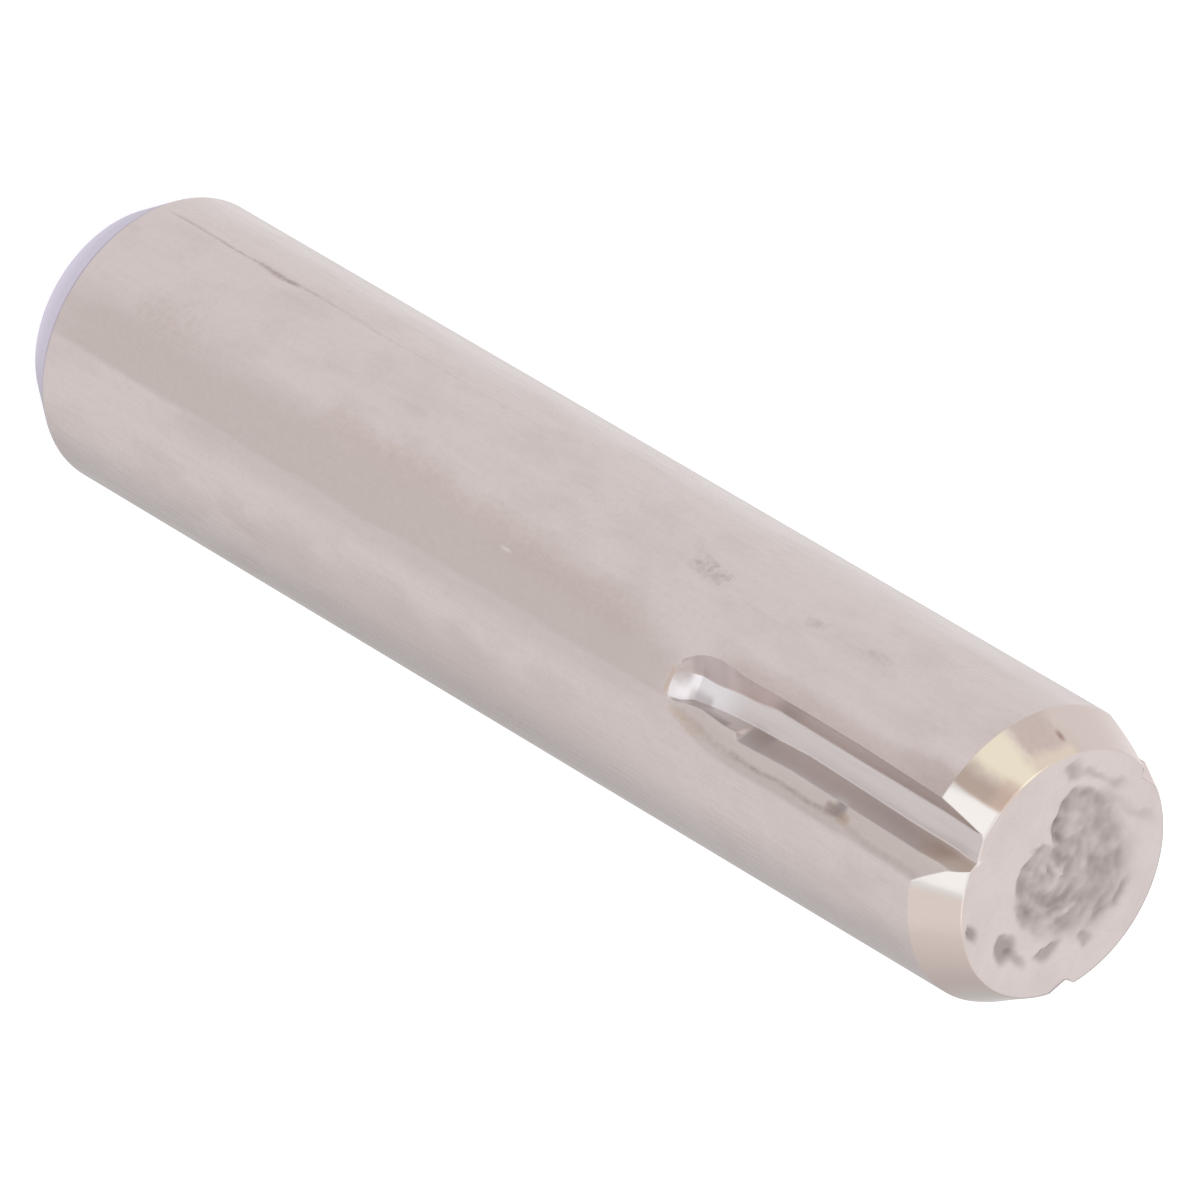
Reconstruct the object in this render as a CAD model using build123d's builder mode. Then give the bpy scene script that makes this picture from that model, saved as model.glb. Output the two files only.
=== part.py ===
from build123d import *
import math
import os

# Cam pin: a solid steel grooved pin. A round blank has a chamfer at each end, and three lengthwise grooves are
# pressed into it at the front end. Pressing a groove swells the metal beside it, so the pin wedges in a drilled
# hole. The pin stands on its rear end: +Z runs along its axis and the origin is the rear end's centre.
# All lengths are in millimetres and all angles in degrees.

# Blank
pin_diameter = 6.35
pin_length = 28.575
rear_chamfer_length = 1.02  # along the axis
rear_chamfer_depth = 0.64  # off the radius
front_chamfer_length = 1.02
front_chamfer_depth = 0.52

# Grooves. The pressing tool leaned over, so the root slopes down to its far side, and beyond the far wall the tool's
# shoulder left a flat. Depths go down from the blank's top over the groove's middle line. Shifts go across the
# groove from that line, and the far side is the positive one.
groove_count = 3
first_groove_angle = -90.0  # the first groove faces the front of the frame
groove_length = 8.5  # front face to the blunt end
near_root_depth = 0.485
far_root_depth = 0.645
root_width = 0.51
root_corner_radius = 0.05
near_wall_angle = 34.0  # each wall leans this far from straight out
far_wall_angle = 43.0
lip_depth = 0.245  # where the far wall meets the flat
flat_edge_angle = 21.0  # from the groove's middle line round to where the flat runs out

# The groove's blunt end, and the run-in over which the root reaches its full depth and the near wall its slope
end_wall_length = 0.38  # along the axis, from the surface down to the root
run_in_length = 2.0
end_near_depth = 0.335
end_far_depth = 0.375
end_root_width = 0.5
end_near_wall_angle = 56.0
end_lip_depth = 0.145
end_flat_angle = 17.0

# The groove strays a little round the pin on its way to the front face
end_root_shift = 0.13
root_shift = -0.01
face_root_shift = 0.065
face_flat_angle = 22.5

# Swell: the metal that each groove pushed up, as a low bulge about the groove. It shows on the near side only.
swell_raise = 0.06  # above the blank at the bulge's middle, which the groove then cuts away
swell_half_angle = 18.0  # from the groove's middle line to the bulge's foot
swell_start_sink = 0.06  # below the blank's surface, where the bulge starts at the groove's blunt end
swell_rise_length = 1.9
swell_face_raise = 0.01  # what is left of the bulge at the front face

# Torn core: the cropped middle of the front end, a little below the plain ring round it. It is an oval whose
# edge strays in and out.
core_depth = 0.08
core_half_length = 2.14
core_half_width = 1.6
core_turn = -7.5  # the way its length lies
core_wander = 0.11
core_lobes = 7  # strays round the edge, an odd number so that opposite sides differ
core_lobe_turn = 50.0
core_edge_points = 28

pin_radius = pin_diameter / 2
rear_face_radius = pin_radius - rear_chamfer_depth
front_face_radius = pin_radius - front_chamfer_depth
front_shoulder = pin_length - front_chamfer_length
blunt_end = pin_length - groove_length
groove_pitch = 360 / groove_count

# The bulge is turned about its own axis, set off towards the groove. With this offset its circle crosses the
# blank's circle at the bulge's half angle and stands proud of it by the raise.
swell_offset = (swell_raise**2 + 2 * pin_radius * swell_raise) / (
    2 * pin_radius * (1 - math.cos(math.radians(swell_half_angle))) + 2 * swell_raise
)
swell_reach = pin_radius + swell_raise

with BuildPart() as swell:
    with BuildSketch(Plane.XZ):
        with BuildLine():
            Polyline(
                (swell_offset, blunt_end),
                (pin_radius - swell_start_sink, blunt_end),
                (swell_reach, blunt_end + swell_rise_length),
                (swell_reach, front_shoulder),
                (front_face_radius + swell_face_raise, pin_length),
                (swell_offset, pin_length),
                close=True,
            )
        make_face()
    revolve(axis=Axis((swell_offset, 0, 0), (0, 0, 1)))

cutter_top = swell_reach + far_root_depth
flat_overrun = 1.3  # the cut goes on past the flat's edge by this share of its width, out of the metal
cutter_overrun = 1.0  # past the front face


def cutter_section(lift, near_depth, far_depth, width, shift, near_angle, lip, flat_angle):
    """Corners of the groove's cross-section: both root corners come first, then round by the far side.

    The lift raises the whole section out of the metal.
    """
    near_root = Vector(pin_radius - near_depth, shift - width / 2)
    far_root = Vector(pin_radius - far_depth, shift + width / 2)
    far_lip = far_root + Vector(1, math.tan(math.radians(far_wall_angle))) * (far_depth - lip)
    flat_edge = Vector(pin_radius, 0).rotate(Axis.Z, flat_angle)
    flat_end = far_lip + (flat_edge - far_lip) * flat_overrun
    near_rise = cutter_top - near_root.X
    near_top = near_root + Vector(1, -math.tan(math.radians(near_angle))) * near_rise
    corners = [near_root, far_root, far_lip, flat_end, Vector(cutter_top, flat_end.Y), near_top]
    return [corner + Vector(lift, 0) for corner in corners]


# The cutter's root starts above the metal, drops steeply down the end wall, sinks gently through the run-in and
# then keeps its depth out past the front face.
end_lift = end_far_depth + swell_raise
lift_length = end_wall_length * swell_raise / end_far_depth
end_root = (end_near_depth, end_far_depth, end_root_width, end_root_shift)
end_section = (*end_root, end_near_wall_angle, end_lip_depth, end_flat_angle)
full_root = (near_root_depth, far_root_depth, root_width)
full_section = (*full_root, root_shift, near_wall_angle, lip_depth, flat_edge_angle)
face_section = (*full_root, face_root_shift, near_wall_angle, lip_depth, face_flat_angle)
cutter_stations = [
    (blunt_end - lift_length, cutter_section(end_lift, *end_section)),
    (blunt_end + end_wall_length, cutter_section(0, *end_section)),
    (blunt_end + end_wall_length + run_in_length, cutter_section(0, *full_section)),
    (pin_length, cutter_section(0, *face_section)),
    (pin_length + cutter_overrun, cutter_section(0, *face_section)),
]

with BuildPart() as groove_cutter:
    for height, corners in cutter_stations:
        with BuildSketch(Plane.XY.offset(height)):
            with BuildLine():
                Polyline(*corners, close=True)
            make_face()
            fillet(vertices().sort_by(Axis.X)[:2], root_corner_radius)
    loft(ruled=True)


def core_outline():
    """Points round the torn patch: an oval whose reach strays in and out."""
    points = []
    for step in range(core_edge_points):
        turn = step * 360 / core_edge_points
        stray = core_wander * math.cos(math.radians(core_lobes * turn + core_lobe_turn))
        across = (core_half_length + stray) * math.cos(math.radians(turn))
        along = (core_half_width + stray) * math.sin(math.radians(turn))
        points.append(Vector(across, along).rotate(Axis.Z, core_turn))
    return points


with BuildPart() as cam_pin:
    with BuildSketch(Plane.XZ):
        with BuildLine():
            Polyline(
                (0, 0),
                (rear_face_radius, 0),
                (pin_radius, rear_chamfer_length),
                (pin_radius, front_shoulder),
                (front_face_radius, pin_length),
                (0, pin_length),
                close=True,
            )
        make_face()
    revolve(axis=Axis.Z)
    for groove in range(groove_count):
        add(swell.part, rotation=(0, 0, first_groove_angle + groove * groove_pitch))
    for groove in range(groove_count):
        add(
            groove_cutter.part,
            rotation=(0, 0, first_groove_angle + groove * groove_pitch),
            mode=Mode.SUBTRACT,
        )
    with BuildSketch(Plane.XY.offset(pin_length)):
        with BuildLine():
            Spline(*core_outline(), periodic=True)
        make_face()
    extrude(amount=-core_depth, mode=Mode.SUBTRACT)

cam_pin.part.label = "cam_pin"

os.makedirs("parts", exist_ok=True)
export_step(cam_pin.part, "parts/cam_pin.step")
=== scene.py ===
"""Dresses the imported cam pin: a cropped, chamfered and grooved steel pin on a pale studio floor.

The pin stands on its rear end, with +Z along its axis. Sizes are in millimetres until a mesh is
finished, angles are in degrees, and a turn is measured about the axis from the first groove.
"""

import logging
import math
from collections.abc import Callable, Sequence
from dataclasses import dataclass, field
from enum import Enum, IntEnum

import bmesh
import bpy
from mathutils import Matrix, Vector, kdtree, noise

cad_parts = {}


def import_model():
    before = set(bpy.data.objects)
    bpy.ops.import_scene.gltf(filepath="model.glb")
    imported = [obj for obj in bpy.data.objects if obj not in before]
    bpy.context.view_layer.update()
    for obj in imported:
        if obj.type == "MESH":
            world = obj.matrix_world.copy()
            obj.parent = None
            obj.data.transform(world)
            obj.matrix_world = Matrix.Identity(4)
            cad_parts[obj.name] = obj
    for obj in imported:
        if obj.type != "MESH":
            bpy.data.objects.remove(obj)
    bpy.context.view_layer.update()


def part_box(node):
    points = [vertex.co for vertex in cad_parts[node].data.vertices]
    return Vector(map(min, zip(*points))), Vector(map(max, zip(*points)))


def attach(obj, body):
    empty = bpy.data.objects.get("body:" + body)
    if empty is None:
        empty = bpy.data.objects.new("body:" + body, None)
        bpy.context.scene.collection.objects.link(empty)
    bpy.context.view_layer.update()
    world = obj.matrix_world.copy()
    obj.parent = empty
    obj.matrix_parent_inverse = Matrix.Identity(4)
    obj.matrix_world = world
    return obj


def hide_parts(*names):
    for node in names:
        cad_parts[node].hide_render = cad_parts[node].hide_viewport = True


LOG = logging.getLogger("cam_pin_looks")

NODE = "cam_pin"
BODY = "root"
METRES = 0.001  # in one millimetre
GROOVES = 3
SLACK = 0.0005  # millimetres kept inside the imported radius, so that rounding can't carry the visual past it
LEAST_LENGTH = 1e-6  # millimetres, so that nothing is divided by 0
LEAST_RADIUS = 1e-4  # of a row at the axis
ON_SURFACE = 1e-4  # how near the blank's surface a corner counts as lying on it
MERGED = 1e-5  # how near the axis or each other corners become one

Point = tuple[float, float]
Colour = tuple[float, float, float, float]
Tone = tuple[int, int, int]  # red, green and blue as the display shows them, from 0 to 255
Feeds = dict[str | int, object]
Socket = bpy.types.NodeSocket
Mesh = bmesh.types.BMesh
Layer = bmesh.types.BMLayerItem


def linear(tone: Tone) -> Colour:
    """Turns a tone of the display into the linear colour that a shader takes.

    Args:
        tone: Its red, green and blue, from 0 to 255.

    Returns:
        The linear colour, with full alpha.
    """
    shares = [level / 255 for level in tone]
    red, green, blue = (s / 12.92 if s <= 0.04045 else ((s + 0.055) / 1.055) ** 2.4 for s in shares)
    return (red, green, blue, 1)


def add_object(name: str, data: bpy.types.ID) -> bpy.types.Object:
    """Makes an object and links it to the scene.

    Args:
        name: The object's name.
        data: Its mesh, light or camera.

    Returns:
        The object.
    """
    made = bpy.data.objects.new(name, data)
    bpy.context.scene.collection.objects.link(made)
    return made


def add_mesh(name: str, mesh: Mesh) -> bpy.types.Object:
    """Makes an object of a finished mesh, and frees that mesh.

    Args:
        name: The object's name.
        mesh: The mesh.

    Returns:
        The object.
    """
    data = bpy.data.meshes.new(name)
    mesh.to_mesh(data)
    mesh.free()
    return add_object(name, data)


def smooth(share: float) -> float:
    """Eases a share from 0 to 1, held at both ends."""
    share = min(max(share, 0), 1)
    return share * share * (3 - 2 * share)


def blend(start: float, end: float, share: float) -> float:
    """Goes from start to end by a share."""
    return start + (end - start) * share


def between(start: Point, end: Point, share: float) -> Point:
    """The point at a share of the way from start to end."""
    return (blend(start[0], end[0], share), blend(start[1], end[1], share))


def turn_of(point: Point) -> float:
    """The turn of a point from the groove's middle."""
    return math.degrees(math.atan2(point[0], point[1]))


def at_turn(turn: float, radius: float) -> Point:
    """The point at a turn and a distance from the axis."""
    return (radius * math.sin(math.radians(turn)), radius * math.cos(math.radians(turn)))


def turned(x: float, y: float, turn: float) -> Point:
    """Measures a point along axes that are turned from its own."""
    cosine, sine = math.cos(math.radians(turn)), math.sin(math.radians(turn))
    return (x * cosine + y * sine, y * cosine - x * sine)


class Zone(IntEnum):
    """The surfaces of the pin that have a finish of their own, in the order of its material slots."""

    SHANK = 0
    REAR_CHAMFER = 1
    FRONT_CHAMFER = 2
    FRONT_FACE = 3
    REAR_FACE = 4
    ROOT = 5
    NEAR_WALL = 6
    FAR_WALL = 7
    FLAT = 8


class Measure(Enum):
    """What the turns of a mark count from."""

    PIN = "the first groove's middle"
    LIP = "the near lip of whichever groove is nearest"
    FOOT = "the line where that groove's flat runs out"


@dataclass(frozen=True)
class Line:
    """A straight stretch of an outline."""

    start: Point
    end: Point

    @property
    def length(self) -> float:
        """How long the stretch is."""
        return math.dist(self.start, self.end)

    def at(self, share: float) -> Point:
        """The point at a share of the stretch."""
        return between(self.start, self.end, share)


@dataclass(frozen=True)
class Arc:
    """A stretch of the pin's round surface, whose radius may vary with the turn."""

    radius: Callable[[float], float]
    start: float
    end: float

    @property
    def length(self) -> float:
        """About how long the stretch is."""
        return self.radius(self.start) * math.radians(self.end - self.start)

    def at(self, share: float) -> Point:
        """The point at a share of the stretch."""
        turn = blend(self.start, self.end, share)
        return at_turn(turn, self.radius(turn))


CORNER_STEPS = 4
CORNER_PULL = 0.5  # how far the middle of an eased corner keeps to the sharp one
LONGEST_CORNER = 0.22  # of the shorter stretch beside it


def rounded(stretches: Sequence[Line | Arc], steps: Sequence[int], easings: Sequence[float]) -> list[Point]:
    """Divides an outline into points, with each corner eased and held by a point on either side.

    Args:
        stretches: The stretches in order, each starting where the last one ends.
        steps: How many steps each stretch gets between its corners.
        easings: How far each inner corner is cut back, in millimetres.

    Returns:
        The points, both ends included.
    """
    cuts = [
        min(easing, LONGEST_CORNER * min(before.length, after.length))
        for easing, before, after in zip(easings, stretches, stretches[1:])
    ]
    points = [stretches[0].at(0)]
    side = (1 - CORNER_PULL) / 2
    for index, (stretch, count) in enumerate(zip(stretches, steps)):
        length = max(stretch.length, LEAST_LENGTH)
        low = 2 * cuts[index - 1] / length if index else 0.0
        last = index == len(stretches) - 1
        high = 1.0 if last else 1 - 2 * cuts[index] / length
        points += [stretch.at(blend(low, high, step / count)) for step in range(1, count + 1)]
        if last:
            continue
        cut = cuts[index]
        after = stretches[index + 1]
        after_length = max(after.length, LEAST_LENGTH)
        start, sharp, end = stretch.at(1 - cut / length), after.at(0), after.at(cut / after_length)
        middle = tuple(side * a + CORNER_PULL * b + side * c for a, b, c in zip(start, sharp, end))
        points += [start, middle, end, after.at(2 * cut / after_length)]
    return points


def on_circle(inner: Point, outer: Point, radius: float) -> Point:
    """Finds where a line that starts inside a circle about the axis leaves it.

    Args:
        inner: A point inside the circle.
        outer: A point outside it.
        radius: The circle's radius.

    Returns:
        The point where the line crosses the circle.
    """
    run = (outer[0] - inner[0], outer[1] - inner[1])
    a = run[0] ** 2 + run[1] ** 2
    b = inner[0] * run[0] + inner[1] * run[1]
    c = inner[0] ** 2 + inner[1] ** 2 - radius**2
    share = (-b + math.sqrt(max(b * b - a * c, 0))) / a
    return (inner[0] + run[0] * share, inner[1] + run[1] * share)


@dataclass(frozen=True)
class GrooveCut:
    """One cross-section of a pressed groove, as (across, out) points.

    Across runs round the pin and out runs away from its axis. The root slopes: its far side is
    the deeper one, and beyond the far wall the tool left a flat.
    """

    back: float  # from the front face
    near_lip: float  # the turn at which the near wall meets the surface
    near_root: Point
    far_root: Point
    far_lip: Point
    foot: float  # the turn at which the flat runs out

    def toward(self, other: "GrooveCut", share: float) -> "GrooveCut":
        """Works out the cross-section between this one and another.

        Args:
            other: The other cross-section.
            share: The share of the way to it.

        Returns:
            The cross-section there.
        """
        return GrooveCut(
            blend(self.back, other.back, share),
            blend(self.near_lip, other.near_lip, share),
            between(self.near_root, other.near_root, share),
            between(self.far_root, other.far_root, share),
            between(self.far_lip, other.far_lip, share),
            blend(self.foot, other.foot, share),
        )


@dataclass(frozen=True)
class Groove:
    """The pressed groove: a blunt end, a run-in and a long straight stretch out through the face."""

    cuts: tuple[GrooveCut, ...] = (
        GrooveCut(8.58, -4, (0.160, 3.20), (0.440, 3.20), (0.500, 3.20), 11),
        GrooveCut(8.48, -5.5, (0.000, 3.12), (0.530, 3.08), (0.600, 3.13), 13),
        GrooveCut(8.30, -8, (-0.080, 2.95), (0.500, 2.93), (0.560, 3.06), 14.5),
        GrooveCut(8.12, -9.7, (-0.117, 2.84), (0.385, 2.80), (0.510, 3.03), 16),
        GrooveCut(7.70, -11.8, (-0.113, 2.81), (0.325, 2.74), (0.450, 2.99), 18),
        GrooveCut(7.30, -11.2, (-0.160, 2.77), (0.285, 2.68), (0.490, 2.97), 20),
        GrooveCut(7.00, -10.6, (-0.190, 2.75), (0.262, 2.63), (0.510, 2.96), 20.8),
        GrooveCut(6.66, -10.4, (-0.208, 2.722), (0.245, 2.575), (0.505, 2.95), 21),
        GrooveCut(6.56, -10.4, (-0.222, 2.712), (0.243, 2.562), (0.645, 2.93), 21),
        GrooveCut(6.10, -10.5, (-0.285, 2.70), (0.243, 2.54), (0.635, 2.93), 21),
        GrooveCut(5.00, -10.5, (-0.268, 2.69), (0.200, 2.53), (0.595, 2.93), 21),
        GrooveCut(3.40, -10.3, (-0.248, 2.69), (0.243, 2.53), (0.635, 2.925), 21.3),
        GrooveCut(2.00, -9.5, (-0.245, 2.69), (0.293, 2.52), (0.665, 2.92), 22.3),
        GrooveCut(1.15, -9, (-0.240, 2.69), (0.303, 2.51), (0.685, 2.92), 22.8),
        GrooveCut(0.62, -8.8, (-0.222, 2.69), (0.310, 2.496), (0.680, 2.80), 24.5),
        GrooveCut(0.30, -8.7, (-0.206, 2.685), (0.343, 2.49), (0.730, 2.733), 24.5),
        GrooveCut(0.00, -8.6, (-0.190, 2.68), (0.350, 2.485), (0.700, 2.68), 24.5),
    )
    end_wall: float = 8.30  # back from the front face, past which the blunt end begins
    radius: float = 3.175  # of the blank before it was pressed
    lip_raise: float = 0.04  # the near lip's swell above the blank
    swell_turn: float = -20.0  # where the swell runs out
    swell_rise: float = 1.9  # along the axis
    least_turn: float = 0.6  # kept between neighbouring corners
    near_root_easing: float = 0.03
    far_root_easing: float = 0.015
    lip_easing: float = 0.018
    foot_easing: float = 0.03
    steps: tuple[int, ...] = (15, 5, 8, 6, 6, 15)

    @property
    def columns(self) -> int:
        """How many columns of the mesh one groove's third of the pin takes."""
        return sum(self.steps) + CORNER_STEPS * (len(self.steps) - 1)

    def cut_at(self, back: float) -> GrooveCut:
        """Finds the cross-section at one place along the groove.

        Args:
            back: Distance back from the front face.

        Returns:
            The cross-section, which is the first one beyond the blunt end.
        """
        if back >= self.cuts[0].back:
            return self.cuts[0]
        for first, second in zip(self.cuts, self.cuts[1:]):
            if back >= second.back:
                return first.toward(second, (first.back - back) / (first.back - second.back))
        return self.cuts[-1]

    def corners(self, back: float, blank: float) -> tuple[Point, ...]:
        """Works out the groove's corners where it meets a blank of one radius.

        Args:
            back: Distance back from the front face.
            blank: The blank's radius there.

        Returns:
            The near lip, the near and far corners of the root, the far lip and the flat's foot. Those
            that would lie outside the blank are on its surface.
        """
        cut = self.cut_at(back)
        lift = self.lip_raise * smooth((self.cuts[0].back - back) / self.swell_rise)
        lift *= smooth(back / self.swell_rise)
        near, far, lip = cut.near_root, cut.far_root, cut.far_lip
        inside = [math.hypot(*point) < blank for point in (near, far, lip)]
        behind = back > self.end_wall

        if inside[0]:
            near_lip = on_circle(near, at_turn(cut.near_lip, self.radius + lift), blank + lift)
        else:
            near = on_circle(far, near, blank) if inside[1] else at_turn(turn_of(near), blank)
            near_lip = at_turn(cut.near_lip, blank) if behind else near
        if not inside[1]:
            far = at_turn(turn_of(far), blank)
        if inside[2]:
            foot = on_circle(lip, at_turn(cut.foot, self.radius), blank)
        else:
            lip = on_circle(far, lip, blank) if inside[1] else at_turn(turn_of(lip), blank)
            foot = at_turn(cut.foot, blank) if behind else lip
        if turn_of(near_lip) > turn_of(near) - self.least_turn:
            near_lip = at_turn(turn_of(near) - self.least_turn, blank)
        if turn_of(foot) < turn_of(lip) + self.least_turn:
            foot = at_turn(turn_of(lip) + self.least_turn, blank)
        return (near_lip, near, far, lip, foot)

    def outline(self, back: float, blank: float) -> list[Point]:
        """Draws the pin's outline over one third of a turn, with the groove in its middle.

        Args:
            back: Distance back from the front face.
            blank: The blank's radius there.

        Returns:
            The outline's points, from half a third before the groove to half a third after it.
        """
        near_lip, near, far, lip, foot = self.corners(back, blank)
        half = 180 / GROOVES
        lip_turn = turn_of(near_lip)
        raised = math.hypot(*near_lip) - blank

        def near_reach(turn: float) -> float:
            """The surface's radius before the groove, swollen towards the lip."""
            return blank + raised * smooth((turn - self.swell_turn) / (lip_turn - self.swell_turn))

        def span(start: Point, end: Point) -> Line | Arc:
            """A straight stretch, or one on the blank where both ends lie on it."""
            on_blank = min(math.hypot(*start), math.hypot(*end)) > blank - ON_SURFACE
            return Arc(lambda turn: blank, turn_of(start), turn_of(end)) if on_blank else Line(start, end)

        stretches = [
            Arc(near_reach, -half, lip_turn),
            span(near_lip, near),
            span(near, far),
            span(far, lip),
            span(lip, foot),
            Arc(lambda turn: blank, turn_of(foot), half),
        ]
        easings = [
            self.lip_easing, self.near_root_easing, self.far_root_easing, self.lip_easing, self.foot_easing,
        ]
        return rounded(stretches, self.steps, easings)[:-1]

    def zone_at(self, column: int) -> Zone:
        """Finds which pressed surface a column of the mesh belongs to.

        Args:
            column: The column, counted from the start of one groove's third.

        Returns:
            The surface's zone.
        """
        ends = []
        reached = 0
        for count in self.steps:
            reached += count
            ends.append(reached + CORNER_STEPS // 2)
            reached += CORNER_STEPS
        zones = (Zone.SHANK, Zone.NEAR_WALL, Zone.ROOT, Zone.FAR_WALL, Zone.FLAT, Zone.SHANK)
        for end, zone in zip(ends, zones):
            if column < end:
                return zone
        return Zone.SHANK


@dataclass(frozen=True)
class Hollow:
    """An oval hollow, or with a negative depth a lump, in the cropped front face."""

    across: float
    along: float
    half_length: float
    half_width: float
    turn: float  # the way its length lies
    depth: float
    edge: float = 0.95  # the share of its reach over which its wall falls

    def depth_at(self, across: float, along: float) -> float:
        """Works out how deep the hollow is at a point.

        Args:
            across: The point's place toward the camera's side of the face.
            along: Its place a quarter turn on.

        Returns:
            The depth, which is below 0 on a lump.
        """
        x, y = turned(across - self.across, along - self.along, self.turn)
        reach = math.hypot(x / self.half_length, y / self.half_width)
        return self.depth * smooth((1 - reach) / self.edge)


@dataclass(frozen=True)
class Ripple:
    """One layer of noise over the cropped face."""

    strength: float
    scale: float
    layer: float  # which slice of the noise it is, so that no two layers are alike

    def at(self, x: float, y: float) -> float:
        """The noise at a point."""
        return self.strength * noise.noise(Vector((x * self.scale, y * self.scale, self.layer)))


@dataclass
class CroppedFace:
    """The front face: a plain ring round a core that tore when the bar was cropped.

    Points are (toward, round): toward the camera's side of the face, and a quarter turn on.
    """

    facing: float = -97.5  # the row direction that toward points in
    tear_edge: tuple[Point, ...] = (
        (1.20, 0.10), (1.18, 0.45), (0.98, 0.88), (0.58, 1.24), (0.05, 1.42), (-0.60, 1.44), (-1.12, 1.28),
        (-1.66, 0.94), (-2.02, 0.42), (-2.16, -0.22), (-2.00, -0.86), (-1.60, -1.34), (-1.00, -1.68),
        (-0.50, -1.86), (0.10, -1.90), (0.60, -1.84), (1.05, -1.65), (1.20, -1.35), (1.12, -0.90),
        (1.05, -0.62), (0.80, -0.45), (1.05, -0.28),
    )
    hollows: tuple[Hollow, ...] = (
        Hollow(0.40, -1.12, 0.56, 0.48, 0, -0.012, 0.5),
        Hollow(0.05, -1.45, 0.45, 0.20, -35, 0.020),
        Hollow(0.62, -1.58, 0.60, 0.19, 5, 0.022),
        Hollow(1.00, -1.35, 0.40, 0.18, 80, 0.020),
        Hollow(0.92, -0.76, 0.34, 0.24, 60, 0.030),
        Hollow(0.66, -0.56, 0.26, 0.20, 0, 0.034),
        Hollow(-0.75, -0.45, 0.70, 0.38, -35, 0.014),
        Hollow(0.20, -0.22, 0.50, 0.16, 10, 0.024),
        Hollow(1.05, -0.12, 0.32, 0.16, 15, 0.020),
        Hollow(0.22, -0.02, 0.34, 0.14, 0, -0.034),
        Hollow(0.44, 0.20, 0.32, 0.15, -15, -0.038),
        Hollow(-0.42, 0.22, 0.36, 0.20, 80, 0.034),
        Hollow(-0.20, 0.47, 0.40, 0.20, 45, 0.026),
        Hollow(0.20, 0.62, 0.48, 0.20, 5, 0.024),
        Hollow(0.84, 0.60, 0.42, 0.28, -35, 0.034),
        Hollow(0.28, 1.05, 0.60, 0.20, -10, 0.022),
        Hollow(-0.62, 0.68, 0.60, 0.17, 48, -0.030),
        Hollow(-0.85, 0.95, 0.50, 0.20, 45, 0.022),
        Hollow(-0.36, 0.72, 0.42, 0.15, 48, 0.016),
        Hollow(-1.02, 0.10, 0.45, 0.25, 80, 0.018),
        Hollow(-1.30, -0.05, 0.60, 0.30, 80, 0.016),
        Hollow(-1.84, -0.24, 0.50, 0.15, 92, 0.040, 0.8),
        Hollow(-1.62, 0.28, 0.40, 0.16, 70, 0.024, 0.8),
        Hollow(-0.62, -1.15, 0.55, 0.30, 60, 0.020),
        Hollow(-1.25, -0.85, 0.50, 0.22, -40, 0.018),
        Hollow(-1.60, 0.86, 0.30, 0.18, 10, 0.045, 0.7),
        Hollow(-0.80, 1.46, 0.48, 0.24, 50, 0.056, 0.6),
        Hollow(0.36, 1.84, 0.44, 0.36, -50, 0.068, 0.55),
        Hollow(-0.10, 1.93, 0.50, 0.19, -8, 0.048, 0.7),
        Hollow(1.45, 1.95, 0.32, 0.20, -25, 0.070, 0.7),
        Hollow(0.75, -2.02, 0.90, 0.15, 6, 0.036),
        Hollow(1.35, -1.82, 0.34, 0.19, 15, 0.050),
        Hollow(-0.02, -2.12, 0.40, 0.16, 10, 0.034),
        Hollow(-1.20, -1.80, 0.70, 0.18, 8, 0.026),
        Hollow(-0.30, -1.80, 0.90, 0.26, -6, 0.018),
    )
    core_sink: float = 0.040
    raggedness: tuple[Ripple, ...] = (Ripple(0.10, 2.2, 0.3), Ripple(0.06, 5, 4.1))
    grain: float = 0.026
    graining: tuple[Ripple, ...] = (Ripple(1, 2.6, 1.7), Ripple(0.55, 6.5, 7.9))
    swirl: float = 0.005
    swirl_pitch: float = 0.36
    swirl_middle: Point = (0.30, 0.20)
    swirl_stray: float = 25.0  # radians by which the raggedness shifts the swirl, for each millimetre
    edge_widths: Point = (0.70, 0.18)  # the tear's edge is soft on the far side and crisp toward the camera
    edge_change: Point = (-1, 0.5)  # where the one width gives way to the other
    core_wear: float = 0.52  # how worn the core looks where nothing else marks it
    depth_shade: float = 11.0  # how much darker and rougher it looks for each millimetre of depth: painted shade in the hollows, painted light on the lumps

    def inside(self, toward: float, round_: float) -> float:
        """Measures how far a point lies inside the torn core.

        Args:
            toward: The point's place toward the camera's side of the face.
            round_: Its place a quarter turn on.

        Returns:
            The distance in millimetres, below 0 outside the core.
        """
        turn = math.atan2(round_, toward)
        reach = math.hypot(toward, round_)
        edges = sorted((math.atan2(p[1], p[0]), math.hypot(*p)) for p in self.tear_edge)
        edges = [(edges[-1][0] - math.tau, edges[-1][1])] + edges + [(edges[0][0] + math.tau, edges[0][1])]
        for (start, first), (end, second) in zip(edges, edges[1:]):
            if start <= turn < end:
                return blend(first, second, smooth((turn - start) / (end - start))) - reach
        return -reach

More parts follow.
